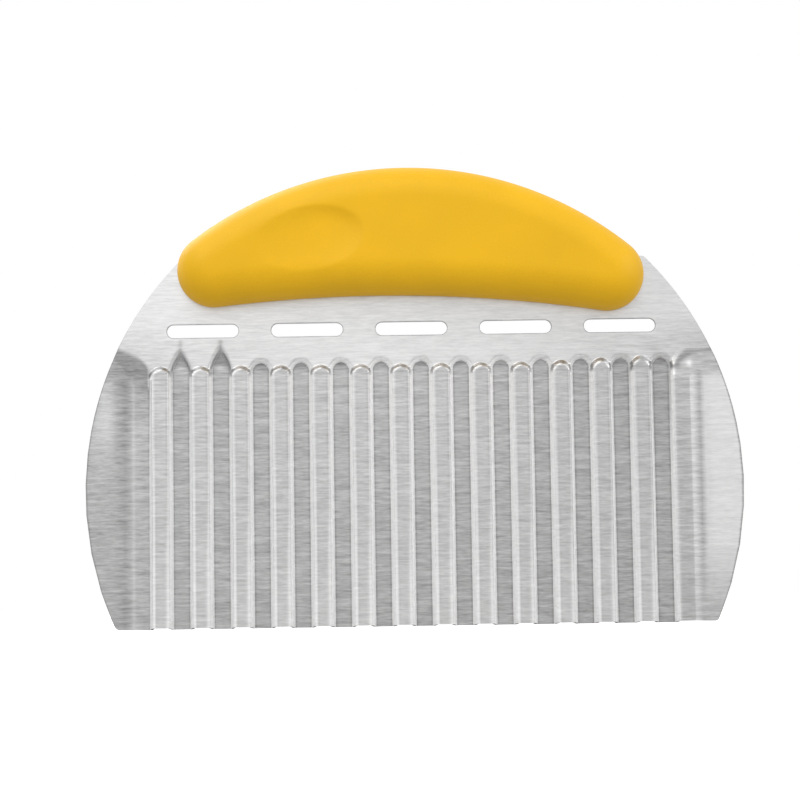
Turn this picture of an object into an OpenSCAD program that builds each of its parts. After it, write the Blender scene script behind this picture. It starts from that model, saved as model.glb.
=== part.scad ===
// Soap cutter: a pressed wavy steel blade clamped between two moulded handle shells.
// Millimetres. X runs along the blade, Z up from the cutting edge, and the front faces -Y.

/* [Blade] */
// Radius of the blade's round outline
blade_radius = 86; // [82:0.5:90]
// Height of the outline's centre above the cutting edge
blade_centre = 36; // [33:0.5:39]
// Thickness of the sheet steel
sheet = 0.8; // [0.6:0.1:1.1]

/* [Waves] */
// Number of crests pressed across the blade
wave_count = 14; // [8:1:14]
// Distance from one crest to the next
wave_pitch = 10.51; // [9.5:0.01:10.6]
// Sideways shift of the whole row of waves
wave_shift = -0.2; // [-2:0.1:2]
// Depth from a crest's face to a trough's face
wave_depth = 2.4; // [1.8:0.1:3]
// Width of a crest's flat face
crest_flat = 3.8; // [3.2:0.1:4.2]
// Width that one slanted flank takes
flank_run = 1.1; // [0.8:0.1:1.4]
// Height of the arched tops of the troughs above the cutting edge
trough_top = 70.3; // [66:0.1:72]
// Height of the arched tops of the crests above the cutting edge
crest_top = 68.3; // [64:0.1:70]

/* [Margins] */
// How far the margins beside the waves stand off the plane of the sheet
margin_offset = 0.5; // [0.2:0.1:0.9]
// Width over which the outermost wave runs out into its margin
margin_run = 6; // [3:0.5:9]
// Height of the pressed margins above the cutting edge
margin_top = 73; // [70:0.5:74]
// Height over which the top of a margin slopes down to the waves
margin_slope = 7.5; // [5:0.5:10]
// Radius of the round corner at the top of each margin
margin_corner = 8.2; // [5:0.1:9]

/* [Slots] */
// Number of slots
slot_count = 5; // [1:1:5]
// Distance between the middles of two slots
slot_pitch = 27.4; // [24:0.1:28]
// Length of a slot from end to end
slot_length = 18.8; // [12:0.1:22]
// Height of a slot
slot_height = 3.5; // [2.5:0.1:4.5]
// Height of the slots' middles above the cutting edge
slot_level = 77.9; // [76.5:0.1:79.5]
// Sideways shift of the row of slots
slot_shift = -0.3; // [-1:0.1:1]

/* [Handle] */
// Height of the handle at its middle
handle_height = 34; // [31:0.5:36]
// Height of the middle of the handle's underside above the cutting edge
handle_base = 86.5; // [85.5:0.1:89]
// Sideways shift of the handle on the blade
handle_shift = -0.4; // [-1.5:0.1:1.5]
// Angle at which the handle sits on the blade, right end down
handle_tilt = 1.3; // [0:0.1:2]
// Radius of the handle's top edge
crown_radius = 92.8; // [90:0.2:95]
// Radius of the hollow curve along the handle's underside
underside_radius = 371; // [320:1:430]
// Radius of the handle's round ends
end_radius = 9.75; // [9:0.05:11]
// Depth of one shell from the joint line to its face
shell_depth = 10; // [8.5:0.5:12]
// Radius of the flat land that the rounding leaves at the ends of a shell's face
end_land = 0.75; // [0.5:0.05:2]
// Wall of the shells
shell_wall = 2.4; // [1.8:0.1:3]
// Width of the flat rim on which the shells meet and the tang lies
rim_width = 5.8; // [5.4:0.1:6.5]

/* [Thumb dish] */
// Distance of the dish from the handle's middle
dish_offset = 26.3; // [20:0.1:30]
// Radius of the ball that shapes the dish
dish_radius = 44; // [36:1:60]
// Depth of the dish at its middle
dish_depth = 2; // [1:0.1:2.5]

/* [Inside] */
// Distance from the handle's edge to the edge of the hidden tang
tang_inset = 4.6; // [4:0.1:5]
// Height of the tang's shoulders above the middle of the handle's ends
shoulder_rise = 5; // [4.5:0.1:6]
// Diameter of the moulded posts through the tang
post_diameter = 5; // [4:0.1:6]
// Distance between neighbouring posts
post_pitch = 25; // [22:0.5:27]
// Length of a post beyond the joint line
post_length = 5; // [4:0.1:6]
// Diameter of the bosses that carry the posts and sockets
boss_diameter = 9; // [8:0.1:10]
// Thickness of the cross ribs
rib_thickness = 1.6; // [1.2:0.1:2.4]
// Gap between a post and its hole in the tang
hole_clearance = 0.2; // [0.1:0.05:0.4]
// Gap between a post and its socket
socket_clearance = 0.08; // [0.05:0.01:0.2]
// Gap between the sheet's faces and the pockets that hold it
pocket_clearance = 0.05; // [0.02:0.01:0.15]
// Gap between the tang's edge and the pockets' edge
edge_clearance = 0.2; // [0.1:0.05:0.4]

/* [Hidden] */

steel_colour = [0.8, 0.81, 0.82];
handle_colour = [0.94, 0.72, 0.12];

// Smoothness of round outlines, and of the small round ends of waves and slots
round_steps = 240;
arch_steps = 48;
// Steps of the rounding along a shell's edge
edge_steps = 12;
// How far cutting shapes reach past what they cut
over = 1;
// Half the size of a block that is larger than the blade
reach = 120;
// Stock left beside each pressed wave, through which its flank is then cut
flank_trim = 0.15;
// Fullness of the rounding along a shell's edge, where 2 is a plain ellipse
edge_power = 2.2;
// The posts stand in pairs on each side of the middle
post_pairs = 2;
// Tiny step from the long arcs of the handle down to its end arcs, so that no two surfaces only just touch
arc_step = 0.02;

half_sheet = sheet / 2;
half_depth = wave_depth / 2;
trough_flat = wave_pitch - crest_flat - 2 * flank_run;
wave_start = wave_shift - wave_count * wave_pitch / 2;
flank_slope = flank_run / wave_depth;
// A bend moves sideways by this much from the front face to the back face
bend_shift = sheet * tan(atan(wave_depth / flank_run) / 2);
// Faces of the sheet at the crests and troughs, measured from the middle plane
outer_face = half_depth + half_sheet;
inner_face = half_depth - half_sheet;
trough_arch = trough_top - trough_flat / 2 - flank_slope * half_depth;
crest_arch = crest_top - crest_flat / 2 - flank_trim - flank_slope * half_depth;

// Centres of the handle's crown arc and of its end arcs, from the middle of its underside
crown_drop = crown_radius - handle_height;
end_v = (pow(underside_radius + end_radius, 2) - pow(crown_radius - end_radius, 2)
    - pow(underside_radius, 2) + pow(crown_drop, 2)) / (2 * (underside_radius - crown_drop));
end_u = sqrt(pow(underside_radius + end_radius, 2) - pow(end_v + underside_radius, 2));
edge_rounding = end_radius - end_land;
shoulder_v = end_v + shoulder_rise;

// Depth that the shell's face has at a distance from the handle's edge
function face_depth(inset) =
    shell_depth * pow(1 - pow(max(0, 1 - inset / edge_rounding), edge_power), 1 / edge_power);
hollow_depth = face_depth(rim_width) - shell_wall;

function trough_x(k) = wave_start + k * wave_pitch + trough_flat / 2;
function crest_x(k) = trough_x(k) + (trough_flat + crest_flat) / 2 + flank_run;

// Height of the handle's middle line at a distance u from its middle
function middle_v(u) =
    (sqrt(crown_radius * crown_radius - u * u) - crown_drop
    + sqrt(underside_radius * underside_radius - u * u) - underside_radius) / 2;

// The rounding along a shell's edge, as distance in from the edge and depth
function rounded(value) = pow(value, 2 / edge_power);
edge_profile = [for (j = [0 : edge_steps])
    [edge_rounding * (1 - rounded(cos(90 * j / edge_steps))), shell_depth * rounded(sin(90 * j / edge_steps))]];

// Places a child of the handle's own frame on the blade
module on_blade() {
    translate([handle_shift, 0, handle_base]) rotate([0, handle_tilt, 0]) children();
}

module outline_on_blade() {
    translate([handle_shift, handle_base]) rotate(-handle_tilt) children();
}

// Raises a flat shape drawn in X and Z into a plate from y_low to y_high
module plate(y_low, y_high) {
    translate([0, y_high, 0]) rotate([90, 0, 0]) linear_extrude(y_high - y_low) children();
}

module rod_along_y(diameter, y_low, y_high) {
    translate([0, y_low, 0]) rotate([-90, 0, 0])
        cylinder(d = diameter, h = y_high - y_low, $fn = arch_steps);
}

// The part of the handle's own frame that lies between the centres of its end arcs
module between_ends() {
    far = 3 * crown_radius;
    high = [end_u, end_v] + [end_u, end_v + crown_drop] * far / (crown_radius - end_radius);
    low = [end_u, end_v] - [end_u, end_v + underside_radius] * far / (underside_radius + end_radius);
    polygon([[-end_u, end_v], [-high[0], high[1]], high, [end_u, end_v], low, [-low[0], low[1]]]);
}

// The area between the handle's two long arcs, drawn in by inset and ending square at the ends' middles
module crescent(inset) {
    intersection() {
        difference() {
            translate([0, -crown_drop]) circle(r = crown_radius - inset, $fn = round_steps);
            translate([0, -underside_radius]) circle(r = underside_radius + inset, $fn = 4 * round_steps);
        }
        translate([-end_u, -reach]) square([2 * end_u, 2 * reach]);
    }
}

// A ring about an axis along Y, at a height in the handle's frame, from a profile of radius and depth
module ring(centre_u, centre_v, profile, steps) {
    translate([centre_u, 0, centre_v]) rotate([90, 0, 0]) rotate_extrude($fn = steps) polygon(profile);
}

// Half of the handle, flat at y = 0, with its face towards -Y and its edge rounded all round
module crowned_half() {
    inner = crown_radius - 2 * handle_height;
    outer = underside_radius + 2 * handle_height;
    intersection() {
        ring(0, -crown_drop, steps = round_steps, profile = concat(
            [for (p = edge_profile) [crown_radius - p[0], p[1]]],
            [[inner, shell_depth], [inner, 0]]));
        ring(0, -underside_radius, steps = 4 * round_steps, profile = concat(
            [for (p = edge_profile) [underside_radius + p[0], p[1]]],
            [[outer, shell_depth], [outer, 0]]));
        plate(-shell_depth - over, over) between_ends();
    }
    for (side = [-1, 1])
        ring(side * end_u, end_v, steps = round_steps, profile = concat(
            [for (p = edge_profile) [end_radius - arc_step - p[0], p[1]]],
            [[0, shell_depth], [0, 0]]));
}

// The sheet's outline, grown for the pockets: round, flat below, and drawn in as a tang on top
module sheet_outline(grown) {
    intersection() {
        translate([0, blade_centre]) circle(r = blade_radius + grown, $fn = round_steps);
        translate([-reach, 0]) square([2 * reach, 2 * reach]);
        union() {
            outline_on_blade() translate([-reach, -reach])
                square([2 * reach, reach + shoulder_v + grown]);
            outline_on_blade() translate([0, -crown_drop])
                circle(r = crown_radius - tang_inset + grown, $fn = round_steps);
        }
    }
}

// A pressed wave with sloping sides and an arched top, widening from y_flat to y_mouth
module wave(half_flat, y_flat, y_mouth, arch_centre) {
    height = abs(y_mouth - y_flat);
    half_mouth = half_flat + flank_slope * height;
    translate([0, 0, -over]) linear_extrude(arch_centre + over)
        polygon([[-half_flat, y_flat], [half_flat, y_flat], [half_mouth, y_mouth], [-half_mouth, y_mouth]]);
    translate([0, y_flat, arch_centre]) rotate([y_mouth > y_flat ? -90 : 90, 0, 0])
        cylinder(r1 = half_flat, r2 = half_mouth, h = height, $fn = arch_steps);
}

// Limits a margin to its height, its round top corner and its slope, for one face of the sheet
module margin_limits(corner_x, grown, face) {
    corner = margin_corner + grown;
    fall = (inner_face + half_sheet) / margin_slope;
    intersection() {
        plate(-reach, reach) {
            translate([-reach, -over]) square([reach + corner_x - margin_corner, margin_top + grown + over]);
            translate([-reach, -over]) square([reach + corner_x + grown, margin_top - margin_corner + over]);
            translate([corner_x - margin_corner, margin_top - margin_corner])
                circle(r = corner, $fn = arch_steps * 2);
        }
        translate([-reach, 0, 0]) rotate([90, 0, 90]) linear_extrude(2 * reach)
            polygon([
                [-reach, -over],
                [face + fall * (margin_top + over), -over],
                [face - fall * over, margin_top + over],
                [-reach, margin_top + over]]);
    }
}

// The hollow side of a margin: the outermost wave, run out to the blade's edge
module margin_hollow(foot, fold) {
    y_open = -outer_face - over;
    intersection() {
        translate([0, 0, -over]) linear_extrude(reach)
            polygon([
                [-reach, margin_offset - half_sheet],
                [fold - margin_run, margin_offset - half_sheet],
                [fold, inner_face],
                [foot, inner_face],
                [foot + flank_slope * (inner_face - y_open), y_open],
                [-reach, y_open]]);
        margin_limits(foot + flank_run / 2, 0, -half_sheet);
    }
}

// The full side of a margin, one sheet thicker than its hollow
module margin_swell(foot, fold) {
    intersection() {
        translate([0, 0, -over]) linear_extrude(reach)
            polygon([
                [-reach, 0],
                [-reach, margin_offset + half_sheet],
                [fold - margin_run, margin_offset + half_sheet],
                [fold, outer_face],
                [foot, outer_face],
                [foot + flank_slope * outer_face, 0]]);
        margin_limits(foot + flank_run / 2 + flank_slope * half_sheet, sheet, half_sheet);
    }
}

module half_turn() {
    rotate([0, 0, 180]) children();
}

// Everything behind the blade's front face
module front_face_body() {
    last_crest = crest_x(wave_count - 1);
    difference() {
        union() {
            translate([-reach, -half_sheet, -over]) cube([2 * reach, reach, 2 * reach]);
            for (k = [0 : wave_count - 2])
                translate([crest_x(k), 0, 0])
                    wave(crest_flat / 2 + flank_trim, -outer_face, 0, crest_arch);
            half_turn()
                margin_swell(-last_crest + crest_flat / 2 + flank_trim, -last_crest - crest_flat / 2);
        }
        for (k = [1 : wave_count - 1])
            translate([trough_x(k), 0, 0])
                wave(trough_flat / 2, inner_face, -outer_face - over, trough_arch);
        margin_hollow(trough_x(0) + trough_flat / 2, trough_x(0) - trough_flat / 2);
    }
}

// Everything in front of the blade's back face
module back_face_body() {
    last_crest = crest_x(wave_count - 1);
    difference() {
        union() {
            translate([-reach, half_sheet - reach, -over]) cube([2 * reach, reach, 2 * reach]);
            for (k = [1 : wave_count - 1])
                translate([trough_x(k), 0, 0])
                    wave(trough_flat / 2 + bend_shift + flank_trim, outer_face, 0, trough_arch);
            margin_swell(trough_x(0) + trough_flat / 2 + bend_shift + flank_trim, trough_x(0) - trough_flat / 2);
        }
        for (k = [0 : wave_count - 2])
            translate([crest_x(k), 0, 0])
                wave(crest_flat / 2 - bend_shift, -inner_face, outer_face + over, crest_arch);
        half_turn()
            margin_hollow(-last_crest + crest_flat / 2 - bend_shift, -last_crest - crest_flat / 2);
    }
}

module slots() {
    straight = slot_length - slot_height;
    for (i = [0 : slot_count - 1])
        translate([slot_shift + (i - (slot_count - 1) / 2) * slot_pitch, 0, slot_level]) {
            for (side = [-1, 1])
                translate([side * straight / 2, 0, 0]) rod_along_y(slot_height, -reach, reach);
            translate([-straight / 2, -reach, -slot_height / 2]) cube([straight, 2 * reach, slot_height]);
        }
}

// Puts a child at each post's place in the handle's frame
module at_posts() {
    for (side = [-1, 1], i = [1 : post_pairs]) {
        u = side * (i - 1 / 2) * post_pitch;
        translate([u, 0, middle_v(u)]) children();
    }
}

module blade() {
    color(steel_colour) difference() {
        intersection() {
            plate(-outer_face - over, outer_face + over) sheet_outline(0);
            front_face_body();
            back_face_body();
        }
        slots();
        on_blade() at_posts() rod_along_y(post_diameter + 2 * hole_clearance, -over, over);
    }
}

module dish_ball(extra) {
    y_middle = -shell_depth - dish_radius + dish_depth;
    translate([-dish_offset, y_middle, middle_v(dish_offset)])
        sphere(r = dish_radius + extra, $fn = round_steps);
}

// The hollow of a shell, with the cross ribs and the bosses left standing
module hollow() {
    plate(-hollow_depth, over) difference() {
        crescent(rim_width);
        for (i = [-post_pairs : post_pairs])
            translate([i * post_pitch - rib_thickness / 2, -reach]) square([rib_thickness, 2 * reach]);
        for (side = [-1, 1], i = [1 : post_pairs]) {
            u = side * (i - 1 / 2) * post_pitch;
            translate([u, middle_v(u)]) circle(d = boss_diameter, $fn = arch_steps);
        }
    }
}

// The pocket in a shell for the half of the sheet on its side
module tang_pocket() {
    plate(-half_sheet - pocket_clearance, over) sheet_outline(edge_clearance);
}

// A hollow shell for the front, with or without the thumb dish
module shell(dished) {
    difference() {
        on_blade() difference() {
            crowned_half();
            if (dished) dish_ball(0);
            difference() {
                hollow();
                if (dished) dish_ball(shell_wall);
            }
        }
        tang_pocket();
    }
}

module handle_front() {
    color(handle_colour) difference() {
        shell(true);
        on_blade() at_posts()
            rod_along_y(post_diameter + 2 * socket_clearance, -post_length - pocket_clearance - half_sheet, over);
    }
}

module handle_back() {
    post_foot = half_sheet + pocket_clearance + over;
    color(handle_colour) union() {
        mirror([0, 1, 0]) shell(false);
        on_blade() at_posts() rod_along_y(post_diameter, -post_length, post_foot);
    }
}

blade();
handle_front();
handle_back();
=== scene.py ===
"""Soap cutter: a pressed wavy steel blade between two moulded handle shells."""

import math

import bmesh
import bpy
from mathutils import Matrix, Vector


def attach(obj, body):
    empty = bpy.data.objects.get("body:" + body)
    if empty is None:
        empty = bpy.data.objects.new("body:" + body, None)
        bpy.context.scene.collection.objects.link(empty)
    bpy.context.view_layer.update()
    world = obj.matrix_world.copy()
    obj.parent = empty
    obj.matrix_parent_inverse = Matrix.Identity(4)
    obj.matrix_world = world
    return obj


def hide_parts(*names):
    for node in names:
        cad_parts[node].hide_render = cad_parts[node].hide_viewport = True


bl_info = {
    "name": "Soap cutter",
    "version": (1, 0, 0),
    "blender": (4, 5, 0),
    "location": "3D View > Sidebar > Soap cutter",
    "description": "Builds the looks of a wavy soap cutter around its packed solids",
    "category": "Add Mesh",
}

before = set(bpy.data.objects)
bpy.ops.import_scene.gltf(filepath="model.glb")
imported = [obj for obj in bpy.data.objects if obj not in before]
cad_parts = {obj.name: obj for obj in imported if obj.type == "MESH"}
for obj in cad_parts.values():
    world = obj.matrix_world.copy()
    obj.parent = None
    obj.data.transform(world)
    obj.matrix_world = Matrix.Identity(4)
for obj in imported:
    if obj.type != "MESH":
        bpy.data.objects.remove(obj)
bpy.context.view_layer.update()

MM = 0.001
BODY = "root"


# Sizes and colours

class BladeSizes(bpy.types.PropertyGroup):
    """Sizes of the pressed blade"""

    radius: bpy.props.FloatProperty(
        name="Outline radius", description="Radius of the round outline",
        default=0.086, subtype="DISTANCE", unit="LENGTH")
    centre: bpy.props.FloatProperty(
        name="Outline centre", description="Height of the outline's centre above the cutting edge",
        default=0.036, subtype="DISTANCE", unit="LENGTH")
    sheet: bpy.props.FloatProperty(
        name="Sheet", description="Thickness of the sheet steel",
        default=0.0008, subtype="DISTANCE", unit="LENGTH")
    wave_count: bpy.props.IntProperty(
        name="Waves", description="Number of crests pressed across the blade", default=14, min=1)
    wave_pitch: bpy.props.FloatProperty(
        name="Wave pitch", description="Distance from one crest to the next",
        default=0.01051, subtype="DISTANCE", unit="LENGTH")
    wave_shift: bpy.props.FloatProperty(
        name="Wave shift", description="Sideways shift of the row of waves",
        default=-0.0002, subtype="DISTANCE", unit="LENGTH")
    wave_depth: bpy.props.FloatProperty(
        name="Wave depth", description="Depth from a crest's face to a trough's face",
        default=0.0024, subtype="DISTANCE", unit="LENGTH")
    crest_flat: bpy.props.FloatProperty(
        name="Crest flat", description="Width of a crest's flat face",
        default=0.0038, subtype="DISTANCE", unit="LENGTH")
    flank_run: bpy.props.FloatProperty(
        name="Flank run", description="Width that one slanted flank takes",
        default=0.0011, subtype="DISTANCE", unit="LENGTH")
    trough_top: bpy.props.FloatProperty(
        name="Trough top", description="Height of the arched tops of the troughs",
        default=0.0703, subtype="DISTANCE", unit="LENGTH")
    crest_top: bpy.props.FloatProperty(
        name="Crest top", description="Height of the arched tops of the crests",
        default=0.0683, subtype="DISTANCE", unit="LENGTH")
    margin_offset: bpy.props.FloatProperty(
        name="Margin offset", description="How far the margins stand off the plane of the sheet",
        default=0.0005, subtype="DISTANCE", unit="LENGTH")
    margin_run: bpy.props.FloatProperty(
        name="Margin run", description="Width over which the outermost wave runs out",
        default=0.006, subtype="DISTANCE", unit="LENGTH")
    left_margin_top: bpy.props.FloatProperty(
        name="Left margin top", description="Height of the left margin's top edge at its inner end",
        default=0.0702, subtype="DISTANCE", unit="LENGTH")
    left_margin_tilt: bpy.props.FloatProperty(
        name="Left margin tilt", description="Angle at which that edge rises outward",
        default=math.radians(24), subtype="ANGLE", unit="ROTATION")
    right_margin_top: bpy.props.FloatProperty(
        name="Right margin top", description="Height of the right margin's level top edge",
        default=0.0718, subtype="DISTANCE", unit="LENGTH")
    margin_slope: bpy.props.FloatProperty(
        name="Margin slope", description="Height over which a margin's top slopes down",
        default=0.0078, subtype="DISTANCE", unit="LENGTH")
    margin_corner: bpy.props.FloatProperty(
        name="Margin corner", description="Radius of the round corner at the top of a margin",
        default=0.0054, subtype="DISTANCE", unit="LENGTH")
    right_corner: bpy.props.FloatProperty(
        name="Right corner", description="Length over which the right margin's corner is drawn out",
        default=0.0078, subtype="DISTANCE", unit="LENGTH")
    dent_top: bpy.props.FloatProperty(
        name="Dent top", description="Height of the tip of the first pointed trough",
        default=0.0733, subtype="DISTANCE", unit="LENGTH")
    dent_arch: bpy.props.FloatProperty(
        name="Dent arch", description="Height over which a pointed trough narrows to its tip",
        default=0.0052, subtype="DISTANCE", unit="LENGTH")


class SlotSizes(bpy.types.PropertyGroup):
    """Sizes of the slots"""

    count: bpy.props.IntProperty(name="Slots", description="Number of slots", default=5, min=1)
    pitch: bpy.props.FloatProperty(
        name="Slot pitch", description="Distance between the middles of two slots",
        default=0.0274, subtype="DISTANCE", unit="LENGTH")
    length: bpy.props.FloatProperty(
        name="Slot length", description="Length of a slot from end to end",
        default=0.0188, subtype="DISTANCE", unit="LENGTH")
    height: bpy.props.FloatProperty(
        name="Slot height", description="Height of a slot",
        default=0.0035, subtype="DISTANCE", unit="LENGTH")
    level: bpy.props.FloatProperty(
        name="Slot level", description="Height of the slots' middles above the cutting edge",
        default=0.0779, subtype="DISTANCE", unit="LENGTH")
    shift: bpy.props.FloatProperty(
        name="Slot shift", description="Sideways shift of the row of slots",
        default=-0.0003, subtype="DISTANCE", unit="LENGTH")


class HandleSizes(bpy.types.PropertyGroup):
    """Sizes of the handle"""

    height: bpy.props.FloatProperty(
        name="Height", description="Height of the handle at its middle",
        default=0.034, subtype="DISTANCE", unit="LENGTH")
    base: bpy.props.FloatProperty(
        name="Base", description="Height of the underside's middle above the cutting edge",
        default=0.0865, subtype="DISTANCE", unit="LENGTH")
    shift: bpy.props.FloatProperty(
        name="Shift", description="Sideways shift of the handle on the blade",
        default=-0.0004, subtype="DISTANCE", unit="LENGTH")
    tilt: bpy.props.FloatProperty(
        name="Tilt", description="Angle at which the handle sits on the blade",
        default=math.radians(1.3), subtype="ANGLE", unit="ROTATION")
    crown: bpy.props.FloatProperty(
        name="Crown radius", description="Radius of the top edge",
        default=0.0928, subtype="DISTANCE", unit="LENGTH")
    underside: bpy.props.FloatProperty(
        name="Underside radius", description="Radius of the hollow curve along the underside",
        default=0.371, subtype="DISTANCE", unit="LENGTH")
    end: bpy.props.FloatProperty(
        name="End radius", description="Radius of the round ends",
        default=0.00975, subtype="DISTANCE", unit="LENGTH")
    depth: bpy.props.FloatProperty(
        name="Shell depth", description="Depth of one shell from the joint line to its face",
        default=0.01, subtype="DISTANCE", unit="LENGTH")
    land: bpy.props.FloatProperty(
        name="End land", description="Radius of the flat land at the ends of a shell's face",
        default=0.00075, subtype="DISTANCE", unit="LENGTH")
    fullness: bpy.props.FloatProperty(
        name="Fullness", description="Fullness of the rounding, where 2 is a plain ellipse",
        default=2.2, min=1.5, max=4)
    dish_offset: bpy.props.FloatProperty(
        name="Dish offset", description="Distance of the thumb dish from the handle's middle",
        default=0.0263, subtype="DISTANCE", unit="LENGTH")
    dish_length: bpy.props.FloatProperty(
        name="Dish length", description="Length of the thumb dish",
        default=0.0282, subtype="DISTANCE", unit="LENGTH")
    dish_height: bpy.props.FloatProperty(
        name="Dish height", description="Height of the thumb dish",
        default=0.0168, subtype="DISTANCE", unit="LENGTH")
    dish_drop: bpy.props.FloatProperty(
        name="Dish drop",
        description="How far the dish sits below the middle of the handle's height",
        default=0.0009, subtype="DISTANCE", unit="LENGTH")
    dish_depth: bpy.props.FloatProperty(
        name="Dish depth", description="Depth of the thumb dish where it is deepest",
        default=0.0010, subtype="DISTANCE", unit="LENGTH")


class Finishes(bpy.types.PropertyGroup):
    """Colours of the finishes"""

    steel: bpy.props.FloatVectorProperty(
        name="Steel", description="Colour of the brushed steel",
        default=(0.82, 0.82, 0.82), subtype="COLOR", min=0, max=1)
    plastic: bpy.props.FloatVectorProperty(
        name="Plastic", description="Colour of the moulded plastic",
        default=(0.86, 0.475, 0.0), subtype="COLOR", min=0, max=1)
    floor: bpy.props.FloatVectorProperty(
        name="Floor", description="Colour of the floor",
        default=(0.55, 0.55, 0.55), subtype="COLOR", min=0, max=1)


def sizes(name):
    """The sizes or colours kept under a name in the scene."""
    return getattr(bpy.context.scene, name)


# Materials

def new_material(name):
    """An empty material and its node tree."""
    material = bpy.data.materials.new(name)
    material.use_nodes = True
    tree = material.node_tree
    tree.nodes.clear()
    return material, tree


def node(tree, kind, values=None, **settings):
    """A new node with its settings and its inputs' values."""
    made = tree.nodes.new(kind)
    for key, value in settings.items():
        setattr(made, key, value)
    for key, value in (values or {}).items():
        made.inputs[key].default_value = value
    return made


def link(tree, source, target):
    """Joins an output to an input."""
    tree.links.new(source, target)


def stretched_noise(tree, stretch, scale, detail, rough):
    """Noise on the piece's own coordinates, stretched by a factor along each axis."""
    place = node(tree, "ShaderNodeTexCoord")
    mapping = node(tree, "ShaderNodeMapping", {"Scale": stretch})
    noise = node(tree, "ShaderNodeTexNoise", {
        "Scale": scale, "Detail": detail, "Roughness": rough})
    link(tree, place.outputs["Object"], mapping.inputs["Vector"])
    link(tree, mapping.outputs["Vector"], noise.inputs["Vector"])
    return noise.outputs["Fac"]


def span(tree, value, low, high, to_low, to_high):
    """Maps a value from one span to another."""
    made = node(tree, "ShaderNodeMapRange", {
        "From Min": low, "From Max": high, "To Min": to_low, "To Max": to_high})
    link(tree, value, made.inputs["Value"])
    return made.outputs["Result"]


def added(tree, first, second):
    """Sum of two values."""
    made = node(tree, "ShaderNodeMath", operation="ADD")
    link(tree, first, made.inputs[0])
    link(tree, second, made.inputs[1])
    return made.outputs["Value"]


def tinted(tree, colour, change):
    """A colour made lighter or darker by a factor."""
    made = node(tree, "ShaderNodeMix", data_type="RGBA", blend_type="MULTIPLY")
    made.inputs["Factor"].default_value = 1.0
    made.inputs["A"].default_value = (*colour, 1.0)
    link(tree, change, made.inputs["B"])
    return made.outputs["Result"]


def bumped(tree, height, shader, strength, distance):
    """Gives a shader a relief."""
    made = node(tree, "ShaderNodeBump", {"Strength": strength, "Distance": distance})
    link(tree, height, made.inputs["Height"])
    link(tree, made.outputs["Normal"], shader.inputs["Normal"])


def brushed_steel(name, tone):
    """Steel brushed along the blade, its colour scaled by the piece's painted light and shade."""
    material, tree = new_material(name)
    output = node(tree, "ShaderNodeOutputMaterial")
    shader = node(tree, "ShaderNodeBsdfPrincipled", {
        "Metallic": 1.0, "Anisotropic": 0.5, "Roughness": 0.36})
    link(tree, shader.outputs["BSDF"], output.inputs["Surface"])
    fine = stretched_noise(tree, FINE_STREAKS, scale=1.0, detail=3.0, rough=0.7)
    broad = stretched_noise(tree, BROAD_STREAKS, scale=1.0, detail=2.0, rough=0.6)
    both = added(tree, fine, broad)
    made = node(tree, "ShaderNodeAttribute", attribute_name=tone)
    change = node(tree, "ShaderNodeMath", {2: 1.0}, operation="MULTIPLY_ADD")
    link(tree, span(tree, both, *STREAK_CHANGE), change.inputs[0])
    link(tree, span(tree, made.outputs["Fac"], *STREAK_SHARE), change.inputs[1])
    # The painted light and shade, with the streaks, scale the steel's colour
    level = node(tree, "ShaderNodeMath", operation="MULTIPLY")
    link(tree, made.outputs["Fac"], level.inputs[0])
    link(tree, change.outputs["Value"], level.inputs[1])
    colour = tinted(tree, sizes("finishes").steel, level.outputs["Value"])
    link(tree, colour, shader.inputs["Base Color"])
    bumped(tree, both, shader, strength=0.25, distance=STREAK_HEIGHT)
    link(tree, span(tree, made.outputs["Fac"], *METAL_SHARE), shader.inputs["Metallic"])
    tangent = node(tree, "ShaderNodeCombineXYZ", {"Z": 1.0})
    link(tree, tangent.outputs["Vector"], shader.inputs["Tangent"])
    return material


# Number of streaks per metre across, through and up the blade
FINE_STREAKS = (420.0, 900.0, 3400.0)
BROAD_STREAKS = (150.0, 500.0, 1500.0)
STREAK_HEIGHT = 0.03 * MM
# From these two values of the streaks' noise to these two changes of brightness
STREAK_CHANGE = (0.7, 1.3, -0.33, 0.30)
# From these two painted tones to these two shares of the streaks, which are fainter where the
# painted light is bright
STREAK_SHARE = (0.5, 0.88, 1.0, 0.32)
# From these two painted tones to these two shares of metal, so that the forms with the
# brightest painted highlight scatter light
METAL_SHARE = (0.92, 1.12, 1.0, 0.15)


def cut_steel(name):
    """The dull sheared thickness of the sheet."""
    material, tree = new_material(name)
    output = node(tree, "ShaderNodeOutputMaterial")
    shader = node(tree, "ShaderNodeBsdfPrincipled", {"Metallic": 1.0})
    link(tree, shader.outputs["BSDF"], output.inputs["Surface"])
    grain = stretched_noise(tree, EVEN, SHEARED_GRAIN, detail=2.0, rough=0.6)
    change = span(tree, grain, *NOISE_SPAN, *SHEARED_CHANGE)
    link(tree, tinted(tree, sizes("finishes").steel, change), shader.inputs["Base Color"])
    link(tree, span(tree, grain, *NOISE_SPAN, *SHEARED_ROUGH), shader.inputs["Roughness"])
    return material


# Noise that is stretched along no axis, and the two values between which most of a noise lies
EVEN = (1.0, 1.0, 1.0)
NOISE_SPAN = (0.3, 0.7)
# Lumps per metre in the sheared steel and in the plastic, with their spans of brightness and
# of roughness
SHEARED_GRAIN = 2400.0
SHEARED_CHANGE, SHEARED_ROUGH = (0.28, 0.42), (0.40, 0.55)
PLASTIC_CLOUD = 60.0
PLASTIC_GRAIN = 2600.0
PLASTIC_HEIGHT = 0.06 * MM
PLASTIC_ROUGH = (0.46, 0.56)
# From these two values of the plastic's noise to these two factors on its colour
PLASTIC_CHANGE = (0.7, 1.3, 0.93, 1.03)


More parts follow.
